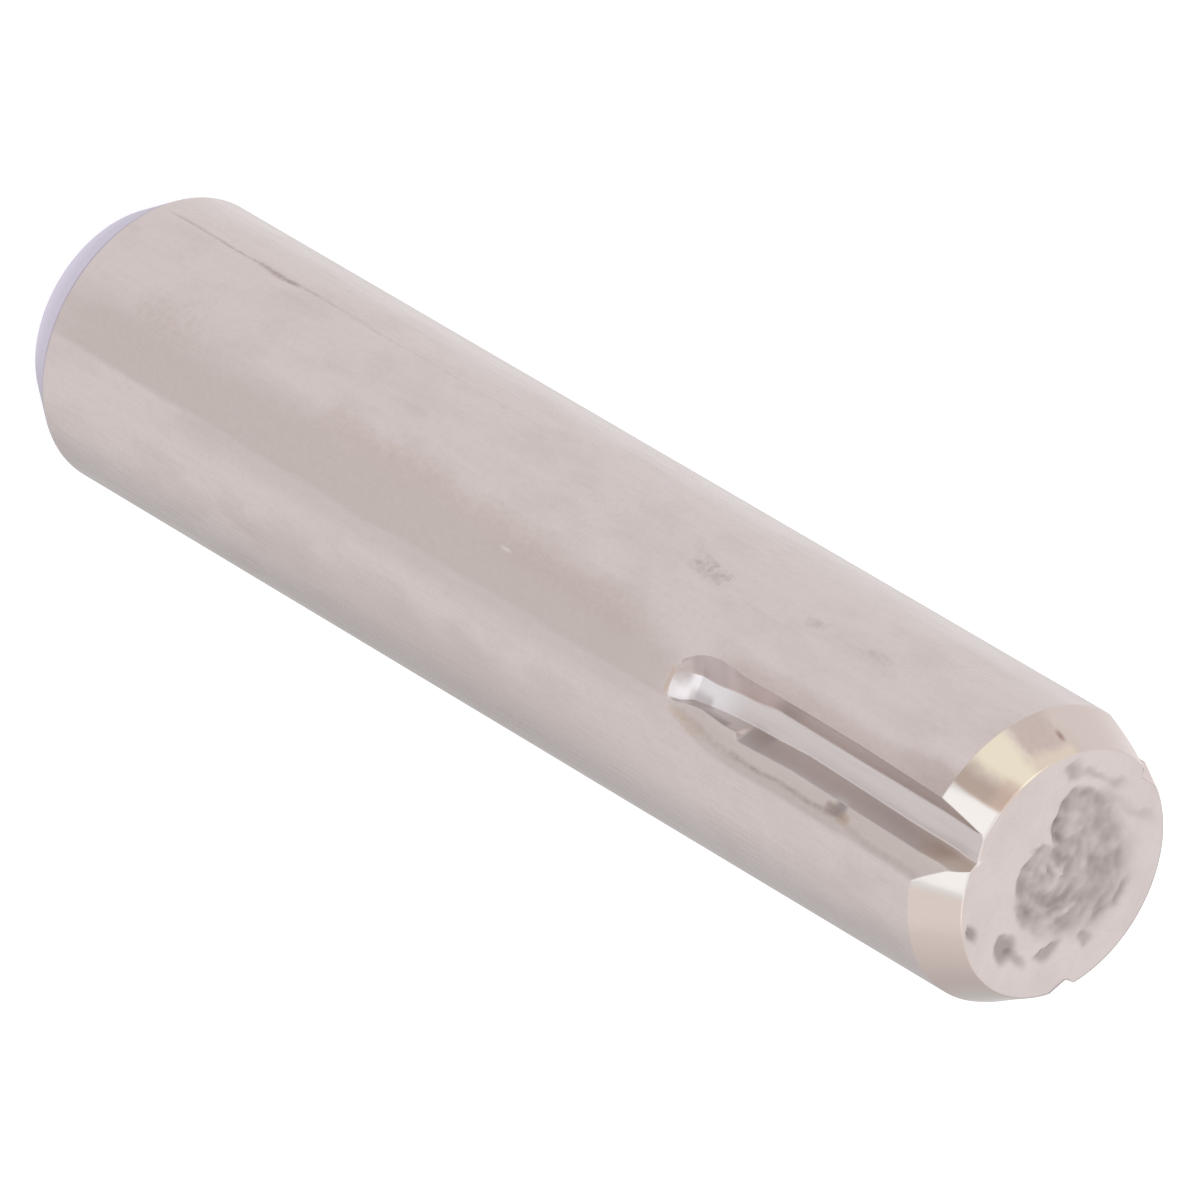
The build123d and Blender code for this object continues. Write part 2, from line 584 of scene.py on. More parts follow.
    def torn_at(self, x: float, y: float) -> Point:
        """Works out how the face tore at a point.

        Args:
            x: The point's place in the row frame.
            y: The same, along the frame's other level axis.

        Returns:
            How far the torn face lies below the ring there, and how worn it looks from 0 to 1, with painted
            shade added where the face lies deeper.
        """
        toward, round_ = turned(x, y, self.facing)
        ragged = sum(ripple.at(toward, round_) for ripple in self.raggedness)
        start, end = self.edge_change
        width = blend(*self.edge_widths, smooth((toward - start) / (end - start)))
        share = smooth((self.inside(toward, round_) + ragged) / width)
        marks = sum(hollow.depth_at(toward + ragged, round_ - ragged) for hollow in self.hollows)
        if share > 0:
            reach = math.hypot(toward - self.swirl_middle[0], round_ - self.swirl_middle[1])
            wave = math.sin(math.tau * reach / self.swirl_pitch + self.swirl_stray * ragged)
            rough = sum(ripple.at(toward, round_) for ripple in self.graining)
            marks += share * (self.swirl * wave + self.grain * rough)
        # Painted shade: the deeper a mark, the darker the face is painted there, and lumps are painted
        # lighter.
        wear_and_shade = self.core_wear * share + self.depth_shade * marks
        return (max(self.core_sink * share + marks, 0), min(max(wear_and_shade, 0), 1))


@dataclass
class Pin:
    """The pin itself: the blank's outline is spun, then the grooves, the nick and the tear go in."""

    radius: float
    length: float
    rear_chamfer_length: float = 1.02
    rear_chamfer_depth: float = 0.64
    front_chamfer_length: float = 1.02
    front_chamfer_depth: float = 0.52
    edge_easing: float = 0.025
    rim_easing: float = 0.04
    plain_face_radius: float = 2.2  # inside this the face's columns are evenly spaced
    row_breaks: tuple[float, ...] = (8.78, 8.02, 6.75, 6.35, 3.87, 2.87)  # back from the front face
    row_steps: tuple[int, ...] = (8, 6, 26, 22, 16, 10, 20, 16, 14, 14, 12, 48)  # between corners and breaks
    rear_face_depth: float = 0.002  # what lies lower than this is the rear face
    pressed_depth: float = 0.006  # what lies deeper than this below the blank takes a groove's finish
    exit_bevel: float = 0.05  # where the groove breaks out through the face
    exit_gap: float = 0.2  # the depth below the chamfer at which that bevel is full
    exit_reach: float = 0.10
    exit_share: float = 0.25  # of the plain ring, over which the face comes back up from that bevel
    nick_back: float = 3.37
    nick_turn: float = 15.0
    nick_half_length: float = 0.34
    nick_half_turn: float = 5.0
    nick_slant: float = 0.5
    nick_depth: float = 0.05
    groove: Groove = field(default_factory=Groove)
    face: CroppedFace = field(default_factory=CroppedFace)

    @property
    def front_radius(self) -> float:
        """The front face's radius."""
        return self.radius - self.front_chamfer_depth

    @property
    def shoulder(self) -> float:
        """How high the front chamfer starts."""
        return self.length - self.front_chamfer_length

    @property
    def columns(self) -> int:
        """How many columns the mesh has round the pin."""
        return GROOVES * self.groove.columns

    def profile(self) -> list[Point]:
        """Draws the blank's half outline.

        Returns:
            The outline as (radius, height), from the rear face's middle to the front face's.
        """
        rim = (self.front_radius, self.length)
        rear_radius = self.radius - self.rear_chamfer_depth
        corners = [(0, 0), (rear_radius, 0), (self.radius, self.rear_chamfer_length)]
        corners += [(self.radius, self.length - back) for back in self.row_breaks]
        corners += [(self.radius, self.shoulder), rim]
        corners += [(self.plain_face_radius, self.length), (0, self.length)]
        stretches = [Line(start, end) for start, end in zip(corners, corners[1:])]
        easings = [self.edge_easing] * (len(stretches) - 1)
        easings[corners.index(rim) - 1] = self.rim_easing
        return rounded(stretches, self.row_steps, easings)

    def spun(self) -> Mesh:
        """Spins the blank's outline about the axis.

        Returns:
            The blank's mesh.
        """
        mesh = bmesh.new()
        corners = [mesh.verts.new((radius, 0, height)) for radius, height in self.profile()]
        for first, second in zip(corners, corners[1:]):
            mesh.edges.new((first, second))
        bmesh.ops.spin(
            mesh,
            geom=mesh.verts[:] + mesh.edges[:],
            cent=(0, 0, 0),
            axis=(0, 0, 1),
            dvec=(0, 0, 0),
            angle=math.tau,
            steps=self.columns,
            use_merge=True,
            use_duplicate=False,
        )
        return mesh

    def placed(self, column: int, point: Point) -> Vector:
        """Puts a point of one groove's outline at that groove's place round the pin.

        Args:
            column: The point's column.
            point: The point, as (across, out).

        Returns:
            The point in the row frame, without its height.
        """
        middle = math.radians(-90 + column // self.groove.columns * 360 / GROOVES)
        across, out = point
        return Vector((
            out * math.cos(middle) - across * math.sin(middle),
            out * math.sin(middle) + across * math.cos(middle),
        ))

    def side_row(self, radius: float, height: float) -> list[Vector]:
        """Works out one row of the pin's side.

        Args:
            radius: The blank's radius there.
            height: The row's height.

        Returns:
            The row's points, one for every column.
        """
        outline = self.groove.outline(self.length - height, radius)
        row = []
        for column in range(self.columns):
            flat = self.placed(column, outline[column % self.groove.columns])
            gap = max(0, radius - flat.length) / self.exit_gap if height > self.shoulder else 0.0
            drop = self.exit_bevel * min(gap, 1) * smooth(1 - (self.length - height) / self.exit_reach)
            flat *= 1 - self.nick_at(column, flat, height) / flat.length
            row.append(Vector((flat.x, flat.y, height - drop)))
        return row

    def nick_at(self, column: int, flat: Vector, height: float) -> float:
        """Works out how deep the nick beside the first groove is at a point.

        Args:
            column: The point's column.
            flat: The point, without its height.
            height: Its height.

        Returns:
            The depth, as a share of a millimetre.
        """
        if column >= self.groove.columns:
            return 0.0
        turn = math.degrees(math.atan2(flat.x, -flat.y))
        along = (self.length - height - self.nick_back) / self.nick_half_length
        aside = (turn - self.nick_turn) / self.nick_half_turn
        return self.nick_depth * smooth(1 - math.hypot(along + self.nick_slant * aside, aside))

    def face_row(self, radius: float, rim: list[Vector]) -> list[Vector]:
        """Works out one row of the front face.

        Args:
            radius: How far the row lies from the axis.
            rim: The row at the face's rim.

        Returns:
            The row's points, one for every column.
        """
        share = min((self.front_radius - radius) / (self.front_radius - self.plain_face_radius), 1)
        reach = min(radius, self.plain_face_radius)
        row = []
        for column, edge in enumerate(rim):
            turn = math.radians(-90 - 180 / GROOVES + column * 360 / self.columns)
            even = Vector((reach * math.cos(turn), reach * math.sin(turn), self.length))
            point = edge.lerp(even, share)
            drop = (self.length - edge.z) * (1 - smooth(share / self.exit_share))
            point.z = self.length - drop - self.face.torn_at(point.x, point.y)[0]
            row.append(point)
        return row

    def mesh(self) -> Mesh:
        """Makes the whole pin: every corner of the spun blank goes to its place in its own row.

        Returns:
            The pin's mesh, in millimetres.
        """
        mesh = self.spun()
        profile = self.profile()
        rim = max(index for index, (_, height) in enumerate(profile) if height < self.length - LEAST_LENGTH)
        rows = [self.side_row(max(radius, LEAST_RADIUS), height) for radius, height in profile[: rim + 1]]
        rows += [self.face_row(radius, rows[rim]) for radius, _ in profile[rim + 1 :]]
        places = kdtree.KDTree(len(profile))
        for index, (radius, height) in enumerate(profile):
            places.insert((radius, height, 0), index)
        places.balance()
        row_of = mesh.verts.layers.int.new("row")
        column_of = mesh.verts.layers.int.new("column")
        tear = mesh.verts.layers.float.new("tear")
        lip = mesh.verts.layers.float.new("near_lip")
        foot = mesh.verts.layers.float.new("foot")
        for vertex in mesh.verts:
            radius = math.hypot(vertex.co.x, vertex.co.y)
            index = places.find((radius, vertex.co.z, 0))[1]
            turn = math.atan2(vertex.co.y, vertex.co.x) % math.tau
            column = round(turn / math.tau * self.columns) % self.columns
            vertex[row_of] = index
            vertex[column_of] = column
            cut = self.groove.cut_at(self.length - profile[index][1])
            vertex[lip] = cut.near_lip
            vertex[foot] = cut.foot
            if radius > MERGED:
                vertex.co = rows[index][column]
                if index > rim:
                    # The tear value holds the torn core's share plus painted shade in the face's hollows.
                    vertex[tear] = self.face.torn_at(vertex.co.x, vertex.co.y)[1]
        self.mark_zones(mesh, row_of, column_of, rim)
        bmesh.ops.remove_doubles(mesh, verts=mesh.verts[:], dist=MERGED)
        bmesh.ops.recalc_face_normals(mesh, faces=mesh.faces[:])
        return mesh

    def mark_zones(self, mesh: Mesh, row_of: Layer, column_of: Layer, rim: int) -> None:
        """Gives each face of the mesh the zone whose finish it takes.

        Args:
            mesh: The pin's mesh.
            row_of: The layer with each corner's row.
            column_of: The layer with each corner's column.
            rim: The row of the front face's rim.
        """
        slope = self.front_chamfer_depth / self.front_chamfer_length
        per_groove = [self.groove.zone_at(column) for column in range(self.groove.columns)]
        for face in mesh.faces:
            face.smooth = True
            seen = {corner[column_of] for corner in face.verts}
            column = min(seen) if max(seen) - min(seen) < self.columns // 2 else max(seen)
            middle = face.calc_center_median()
            if min(corner[row_of] for corner in face.verts) >= rim:
                zone = Zone.FRONT_FACE
            elif middle.z < self.rear_face_depth:
                zone = Zone.REAR_FACE
            elif middle.z < self.rear_chamfer_length:
                zone = Zone.REAR_CHAMFER
            else:
                pressed = per_groove[column % self.groove.columns]
                blank = self.radius - max(0, middle.z - self.shoulder) * slope
                plain = Zone.FRONT_CHAMFER if middle.z > self.shoulder else Zone.SHANK
                deep = math.hypot(middle.x, middle.y) < blank - self.pressed_depth
                zone = pressed if pressed is not Zone.SHANK and deep else plain
            face.material_index = int(zone)


FINE_STRETCH = (8, 8, 0.45)  # how the steel's noises are scaled: both are drawn out along the axis
BLOTCH_STRETCH = (1.1, 1.1, 0.55)
SPECKLE_SCALE = 7.0
NOISE_ROUGHNESS = 0.6
STREAK_RANGE = (0.42, 0.75)  # of the noise, over which a streak, blotch or speckle comes in
BLOTCH_RANGE = (0.45, 0.72)
SPECKLE_RANGE = (0.5, 0.8)
SPECKLE_SHARE = 0.6  # of the mottle's strength
STRAY_RANGE = (0.3, 0.7)  # of the noise, over which the edge of a stain or of painted light strays from one side to the other
BREAK_RANGE = (0.35, 0.62)  # of the noise, over which a broken patch of stain or painted light comes in
WEAR_RANGE = (0.3, 0.7)
WEAR_SHARES = (0.9, 1.12)  # of a finish's roughness, at the ends of that range


class NodeBench:
    """Builds a shader's nodes, with the few kinds of node that the finishes share."""

    def __init__(self, tree: bpy.types.NodeTree) -> None:
        """Starts on an emptied node tree."""
        self.tree = tree
        tree.nodes.clear()

    def node(self, kind: str, feeds: Feeds | None = None, **settings: object) -> bpy.types.Node:
        """Adds a node, sets its properties and feeds its sockets.

        Args:
            kind: The node's type.
            feeds: What the sockets get, by their names or numbers.
            settings: The properties and their values.

        Returns:
            The node.
        """
        made = self.tree.nodes.new(kind)
        for name, value in settings.items():
            setattr(made, name, value)
        for socket, value in (feeds or {}).items():
            self.feed(made.inputs[socket], value)
        return made

    def feed(self, socket: Socket, value: object) -> None:
        """Links a socket to another one, or sets its value.

        Args:
            socket: The socket that is fed.
            value: The other socket, or the value.
        """
        if isinstance(value, Socket):
            self.tree.links.new(value, socket)
        else:
            socket.default_value = value

    def math(self, operation: str, *values: object, clamp: bool = False) -> Socket:
        """Adds a Math node and returns its result."""
        feeds = dict(enumerate(values))
        return self.node("ShaderNodeMath", feeds, operation=operation, use_clamp=clamp).outputs[0]

    def noise(self, vector: object, scale: float, detail: float) -> Socket:
        """Adds a Noise Texture and returns its value, about 0 to 1."""
        feeds = {"Vector": vector, "Scale": scale, "Detail": detail, "Roughness": NOISE_ROUGHNESS}
        return self.node("ShaderNodeTexNoise", feeds).outputs["Fac"]

    def stretched(self, vector: object, scale: Sequence[float]) -> Socket:
        """Adds a Mapping node that scales a vector."""
        return self.node("ShaderNodeMapping", {"Vector": vector, "Scale": scale}).outputs["Vector"]

    def attribute(self, name: str) -> Socket:
        """Adds an Attribute node that reads one of the mesh's own values."""
        return self.node("ShaderNodeAttribute", attribute_name=name, attribute_type="GEOMETRY").outputs["Fac"]

    def ranged(self, value: object, old: Point, new: Point, curve: str = "LINEAR") -> Socket:
        """Maps a value from its old range to a new one, held at the ends."""
        feeds = {"Value": value, "From Min": old[0], "From Max": old[1], "To Min": new[0], "To Max": new[1]}
        return self.node("ShaderNodeMapRange", feeds, interpolation_type=curve).outputs["Result"]

    def ease(self, value: object, low: float, high: float) -> Socket:
        """Returns 0 where a value is at low, 1 where it is at high and an eased share between."""
        return self.ranged(value, (low, high), (0, 1), "SMOOTHSTEP")

    def mix(self, share: object, first: object, second: object) -> Socket:
        """Mixes two colours."""
        return self.node("ShaderNodeMix", {0: share, 6: first, 7: second}, data_type="RGBA").outputs[2]


@dataclass(frozen=True)
class StainOrPaintedLight:
    """A stain or mark on the steel, or light or shade painted on it: a window of turns and heights in which
    the colour goes towards another.

    Each side of its turns has its own ease, so that one may be crisp.
    """

    colour: Tone
    share: float
    turns: Point
    heights: Point
    turn_ease: Point = (2, 2)
    height_ease: float = 0.5
    ragged: float = 0.0  # how far noise moves its edges, as a share of the eases
    breaks: float = 0.0  # how much of it noise takes away
    measure: Measure = Measure.PIN

    def laid(
        self, bench: NodeBench, colour: object, turn: object, height: object, blotch: object, speckle: object
    ) -> Socket:
        """Lays the stain or painted light over a colour.

        Args:
            bench: The shader's bench.
            colour: The colour so far.
            turn: The turn by its measure, in degrees.
            height: The height along the axis, in millimetres.
            blotch: Slow noise.
            speckle: Quick noise.

        Returns:
            The colour with it laid on.
        """
        shift = bench.ranged(blotch, STRAY_RANGE, (-self.ragged, self.ragged))
        round_pin = (turn, self.turns, self.turn_ease)
        along_pin = (height, self.heights, (self.height_ease, self.height_ease))
        sides = []
        for value, window, eases in (round_pin, along_pin):
            moved = bench.math("ADD", value, bench.math("MULTIPLY", shift, max(eases)))
            sides.append(bench.ease(moved, window[0] - eases[0] / 2, window[0] + eases[0] / 2))
            sides.append(bench.ease(moved, window[1] + eases[1] / 2, window[1] - eases[1] / 2))
        share = sides[0]
        for side in sides[1:]:
            share = bench.math("MULTIPLY", share, side)
        if self.breaks:
            kept = bench.ranged(speckle, BREAK_RANGE, (1 - self.breaks, 1))
            share = bench.math("MULTIPLY", share, kept)
        share = bench.math("MULTIPLY", share, self.share, clamp=True)
        return bench.mix(share, colour, linear(self.colour))


@dataclass(frozen=True)
class Tear:
    """How the steel looks where it tore."""

    colour: Tone
    roughness: float
    grain: float  # how much stronger the bump is there


@dataclass(frozen=True)
class SteelFinish:
    """One finish of the pin's steel, with any painted light and shade laid on it."""

    name: str
    colour: Tone
    roughness: float
    streak: float = 0.0  # drawn lines along the axis, as a change of colour
    streak_colour: Colour = (0.2, 0.17, 0.16, 1)
    mottle: float = 0.0
    mottle_colour: Colour = (0.45, 0.36, 0.33, 1)
    bump: float = 0.0  # in millimetres
    bump_scale: Sequence[float] = (9, 9, 0.5)
    edge_tint: Colour = (1, 1, 1, 1)  # of the gloss at a glancing angle
    stains_and_painted_light: tuple[StainOrPaintedLight, ...] = ()
    tear: Tear | None = None

    def material(self) -> bpy.types.Material:
        """Builds the finish's shader.

        Returns:
            The material.
        """
        made = bpy.data.materials.new(self.name)
        made.use_nodes = True
        bench = NodeBench(made.node_tree)
        shader = bench.node("ShaderNodeBsdfPrincipled")
        shader.inputs["Metallic"].default_value = 1.0
        shader.inputs["Specular Tint"].default_value = self.edge_tint
        bench.node("ShaderNodeOutputMaterial", {0: shader.outputs[0]})

        coordinates = bench.node("ShaderNodeTexCoord").outputs["Object"]
        place = bench.stretched(coordinates, (1 / METRES,) * 3)
        fine = bench.noise(bench.stretched(place, FINE_STRETCH), 1, 4)
        blotch = bench.noise(bench.stretched(place, BLOTCH_STRETCH), 1, 4)
        speckle = bench.noise(place, SPECKLE_SCALE, 3)

        colour: object = linear(self.colour)
        if self.streak:
            share = bench.ranged(fine, STREAK_RANGE, (0, self.streak))
            colour = bench.mix(share, colour, self.streak_colour)
        if self.mottle:
            share = bench.ranged(blotch, BLOTCH_RANGE, (0, self.mottle))
            colour = bench.mix(share, colour, self.mottle_colour)
            share = bench.ranged(speckle, SPECKLE_RANGE, (0, self.mottle * SPECKLE_SHARE))
            colour = bench.mix(share, colour, self.mottle_colour)
        if self.stains_and_painted_light:
            turns, height = self.measures(bench, place)
            for stain_or_light in self.stains_and_painted_light:
                colour = stain_or_light.laid(bench, colour, turns[stain_or_light.measure], height, blotch, speckle)
        low, high = WEAR_SHARES
        worn = bench.ranged(fine, WEAR_RANGE, (self.roughness * low, self.roughness * high))
        grain = bench.noise(bench.stretched(place, self.bump_scale), 1, 5)
        if self.tear is not None:
            # The tear value mixes in the torn colour: the torn core, plus painted shade in the face's
            # hollows.
            share = bench.attribute("tear")
            colour = bench.mix(share, colour, linear(self.tear.colour))
            rougher = bench.math("MULTIPLY", share, self.tear.roughness - self.roughness)
            worn = bench.math("ADD", worn, rougher)
            grain = bench.math("MULTIPLY", grain, bench.ranged(share, (0, 1), (1, self.tear.grain)))
        bench.feed(shader.inputs["Base Color"], colour)
        bench.feed(shader.inputs["Roughness"], worn)
        if self.bump:
            feeds = {"Strength": 1, "Distance": self.bump * METRES, "Height": grain}
            bench.feed(shader.inputs["Normal"], bench.node("ShaderNodeBump", feeds).outputs[0])
        return made

    @staticmethod
    def measures(bench: NodeBench, place: Socket) -> tuple[dict[Measure, Socket], Socket]:
        """Works out where a point lies round the pin and along it.

        Args:
            bench: The shader's bench.
            place: The point, in millimetres.

        Returns:
            The point's turn by each measure, and its height.
        """
        across, along, height = bench.node("ShaderNodeSeparateXYZ", {0: place}).outputs
        turn = bench.math("DEGREES", bench.math("ARCTAN2", across, bench.math("MULTIPLY", along, -1)))
        pitch = 360 / GROOVES
        own = bench.math("FLOORED_MODULO", bench.math("ADD", turn, pitch / 2), pitch)
        own = bench.math("SUBTRACT", own, pitch / 2)
        turns = {
            Measure.PIN: turn,
            Measure.LIP: bench.math("SUBTRACT", own, bench.attribute("near_lip")),
            Measure.FOOT: bench.math("SUBTRACT", own, bench.attribute("foot")),
        }
        return turns, height


EVERYWHERE = (-1, 40)  # heights past both ends of the pin
ALL_ROUND = (-200, 200)  # turns past the whole round


@dataclass
class Dressing:
    """The finishes of the pin, zone by zone, with light and shade painted on some of them."""

    pin: Pin

    def behind(self, start: float, end: float = -1) -> Point:
        """The heights between two distances back from the front face, or past that face."""
        return (self.pin.length - start, self.pin.length - end)

    def groove_marks_and_shade(self) -> tuple[StainOrPaintedLight, ...]:
        """Lists the marks and painted shade beside each groove: painted shade on the near flank's slope, a
        dark broken line of painted shade along the crease at the flat's foot with softer painted shade beside
        it, and darker, browner colour over the nick.

        Returns:
            The stains and painted shade, in the order in which they are laid.
        """
        behind = self.behind
        lip, foot = Measure.LIP, Measure.FOOT
        return (
            # Painted shade on the swell's slope before each near lip, darker toward the front face.
            StainOrPaintedLight((192, 178, 173), 0.95, (-6, 2), behind(7.6), (9, 1), 1.2, 0.2, 0.2, lip),
            StainOrPaintedLight((183, 168, 163), 0.8, (-10, 2), behind(1.9), (7, 1), 1.2, 0.3, 0.2, lip),
            # Painted shade along the crease at the flat's foot: a soft band, then a dark broken line.
            StainOrPaintedLight((186, 175, 172), 0.4, (-9, 0.5), behind(7.9), (3, 3), 0.6, 0.2, 0.2, foot),
            StainOrPaintedLight((158, 144, 140), 0.3, (-4.6, -1.5), behind(8.2, 6.5), (2, 2.2), 0.6, 0.8, 0.6, foot),
            StainOrPaintedLight((158, 144, 140), 0.85, (-4.4, -2.8), behind(6.55, 3.1), (2, 2), 0.3, 0.5, 0.5, foot),
            StainOrPaintedLight((176, 163, 159), 0.6, (-3.6, -1.2), behind(3, 0.9), (2, 2), 0.6, 0.5, 0.4, foot),
            # Browner by the foot at the blunt end.
            StainOrPaintedLight((190, 162, 140), 0.35, (-3.5, 0.5), behind(8.35, 7.3), (2.5, 3), 0.5, 0.8, 0.6, foot),
            # Darker and browner over the nick beside the first groove.
            StainOrPaintedLight((136, 126, 127), 0.85, (11.2, 17.6), behind(3.52, 3.22), (2.2, 2), 0.22, 0.4, 0.2),
            StainOrPaintedLight((140, 124, 116), 0.75, (14.2, 17.8), behind(3.74, 3.44), (2.2, 1.8), 0.22, 0.4, 0.2),
            StainOrPaintedLight((170, 148, 130), 0.7, (15.6, 19), behind(3.36, 3.04), (2, 1.8), 0.2, 0.5, 0.3),
            # Softer painted shade beside the flat's foot.
            StainOrPaintedLight((186, 174, 170), 0.6, (-3, 0.8), behind(6.6, 3.2), (2, 2.6), 0.6, 0.4, 0.3, foot),
        )

    def near_wall_shade(self) -> tuple[StainOrPaintedLight, ...]:
        """Lists the near wall's painted shade: it is painted darker over the run-in, and darker still at the
        blunt end.

        Returns:
            The painted shade, in the order in which it is laid.
        """
        behind = self.behind
        return (
            # Painted shade: over the blunt end, lighter over the run-in, and deepest at the very end.
            StainOrPaintedLight((188, 174, 172), 1, ALL_ROUND, behind(8.75, 7.3), height_ease=0.5),
            StainOrPaintedLight((206, 192, 189), 0.8, ALL_ROUND, behind(7.3, 6.5), height_ease=0.6),
            StainOrPaintedLight((180, 167, 164), 0.9, ALL_ROUND, behind(8.75, 8.15), height_ease=0.2),
        )

    def root_light_and_shade(self) -> tuple[StainOrPaintedLight, ...]:
        """Lists the root's painted light and shade: a painted highlight over the blunt end and on its end
        wall, and painted shade toward its far side and along its near side there.

        Returns:
            The painted light and shade, in the order in which they are laid.
        """
        behind = self.behind
        return (
            # Painted highlight over the blunt end, painted shade toward the far side and along the near side
            # there, and a painted highlight on the end wall.
            StainOrPaintedLight((223, 219, 222), 0.95, ALL_ROUND, behind(8.5, 7.25), height_ease=1.1),
            StainOrPaintedLight((178, 168, 167), 0.7, (3.6, 40), behind(8.2, 7.68), (4.5, 1), 0.14),
            StainOrPaintedLight((178, 168, 166), 0.9, (-6, 1.5), behind(8.8, 8.3), (2, 6), 0.16, 0.3),
            StainOrPaintedLight((232, 226, 228), 0.7, (4.6, 8.2), behind(8.46, 8.26), (2.5, 2.5), 0.14, 0.3),
        )

    def far_wall_light_and_shade(self) -> tuple[StainOrPaintedLight, ...]:
        """Lists the far wall's painted light and shade: painted shade toward its lip and at the step, painted
        light along the run-in and near the face, and darker, browner colour where it flares out.

        Returns:
            The painted light and shade and the flare's colour, in the order in which they are laid.
        """
        behind = self.behind
        return (
            # Painted shade toward the lip, painted light along the run-in, painted shade at the step, painted
            # light near the face, and darker, browner colour where the wall flares out.
            StainOrPaintedLight((183, 176, 173), 0.95, (7.2, 40), behind(7.2), (5, 1), 0.6),
            StainOrPaintedLight((226, 218, 215), 0.75, (4, 8.5), behind(8.1, 6.9), (2, 2), 0.2, 0.5),
            StainOrPaintedLight((222, 215, 212), 0.8, (4.8, 10), behind(6.95, 6.56), (2, 1.5), 0.12, 0.5),
            StainOrPaintedLight((177, 169, 166), 0.8, ALL_ROUND, behind(6.52, 5.95), height_ease=0.2),
            StainOrPaintedLight((212, 200, 192), 0.6, (-10, 8.8), behind(1.9), (1, 4.4), 1.2),
            StainOrPaintedLight((175, 159, 149), 0.97, (8.4, 14.2), behind(1.1), (3.6, 3.4), 0.8),
        )

    def shank(self) -> SteelFinish:
        """Describes the drawn shank: satin, with a darker band of painted reflection in line with the first
        groove.

        Returns:
            The shank's finish.
        """
        blunt = self.pin.length - self.pin.groove.cuts[0].back
        reflection_band = (193, 181, 177)
        return SteelFinish(
            "drawn_shank", (209, 198, 196), 0.27, streak=0.045, mottle=0.24, bump=0.0009,
            stains_and_painted_light=(
                # Painted reflection: a darker band along the shank in line with the first groove.
                StainOrPaintedLight(reflection_band, 0.95, (-12.5, 10.6), (1, blunt - 1.2), (18, 2.8), 2.4, 0.07, 0.15),
                StainOrPaintedLight(reflection_band, 0.85, (-6, 10.6), (blunt - 2.4, blunt), (12, 2.2), 0.8, 0.08, 0.1),
                StainOrPaintedLight(reflection_band, 0.5, (9, 18), (5.5, blunt), (5, 9), 3, 0.15, 0.1),
                StainOrPaintedLight((189, 172, 160), 0.35, (-19, -8), (9.3, 15.6), (10, 10), 4, 0.35, 0.5),
                StainOrPaintedLight((186, 170, 160), 0.35, (-14, -2), (14.6, 18.6), (8, 8), 2, 0.4, 0.5),
                StainOrPaintedLight((184, 169, 160), 0.3, (-24, -10), (2.6, 4.6), (9, 9), 1.8, 0.4, 0.5),
                StainOrPaintedLight((188, 176, 173), 0.42, (31, 76), (7, 18.5), (14, 14), 6, 0.25),
                StainOrPaintedLight((150, 132, 130), 0.55, (-56.3, -55.3), (1, 7), (1.3, 1.3), 2.5, 0.7, 0.5),
                StainOrPaintedLight((150, 132, 130), 0.15, (-56.6, -55.4), (7, 11), (1.4, 1.4), 2.5, 0.8, 0.7),
                StainOrPaintedLight((140, 120, 118), 0.6, (-57, -54.5), (4.2, 5.3), (1.7, 1.7), 0.7, 0.8, 0.5),
                StainOrPaintedLight((158, 144, 142), 0.45, (-43, -35), (18.7, 19.5), (3, 3), 0.5, 0.8, 0.9),
                StainOrPaintedLight((174, 160, 158), 0.4, (-44, -39), (21.8, 22.3), (2.5, 2.5), 0.4, 0.8, 0.8),
                StainOrPaintedLight((174, 160, 158), 0.4, (-44, -39), (23.6, 24.2), (2.5, 2.5), 0.4, 0.8, 0.8),
                StainOrPaintedLight((232, 226, 223), 0.45, (-6.4, -5), (14.55, 14.8), (1.2, 1.2), 0.18, 0.8, 0.4),
                StainOrPaintedLight((196, 164, 140), 0.4, (-1, 9), (blunt - 0.10, blunt), (2.5, 2.5), 0.08, 0.3),
            ) + self.groove_marks_and_shade(),
        )

    def front_chamfer(self) -> SteelFinish:
        """Describes the turned front chamfer: bright, with painted reflections: gold and brown bands before
        the first groove, and lighter and darker bands round it.

        Returns:
            The chamfer's finish.
        """
        shoulder = self.pin.shoulder
        near_rim = (shoulder + 0.74, 40)
        return SteelFinish(
            "turned_front_chamfer", (216, 202, 195), 0.14, streak=0.03, mottle=0.05, bump=0.0004,
            stains_and_painted_light=(
                # Painted reflections on the turned cone: darker and lighter bands round it, a gold band and
                # brown bands before the first groove, warmer tints near the rim and a dark spot by the
                # shoulder.
                StainOrPaintedLight((208, 194, 190), 0.85, (-100, -64), EVERYWHERE, (8, 8), 0.1, 0.3),
                StainOrPaintedLight((207, 191, 184), 0.8, (42, 78), EVERYWHERE, (14, 10), 0.1, 0.3),
                StainOrPaintedLight((196, 179, 173), 0.95, (-64, -40), EVERYWHERE, (10, 7), 0.1, 0.5, 0.15),
                StainOrPaintedLight((222, 207, 191), 0.85, (-63, -36), near_rim, (6, 7), 0.3, 0.4),
                StainOrPaintedLight((233, 222, 200), 0.97, (-40, -25.5), EVERYWHERE, (7, 10), 0.1, 0.25),
                StainOrPaintedLight((178, 160, 149), 0.97, (-25.5, -15.6), EVERYWHERE, (10, 2.6), 0.1, 0.2),
                StainOrPaintedLight((206, 181, 166), 0.55, (-30, -15.6), near_rim, (6, 2.6), 0.3, 0.2),
                StainOrPaintedLight((212, 207, 204), 0.95, (-15.6, 25), EVERYWHERE, (2.6, 4), 0.1, 0.1),
                StainOrPaintedLight((150, 122, 112), 0.8, (-61.5, -59.5), (shoulder + 0.48, shoulder + 0.68), (2, 2), 0.16),
            ),
        )

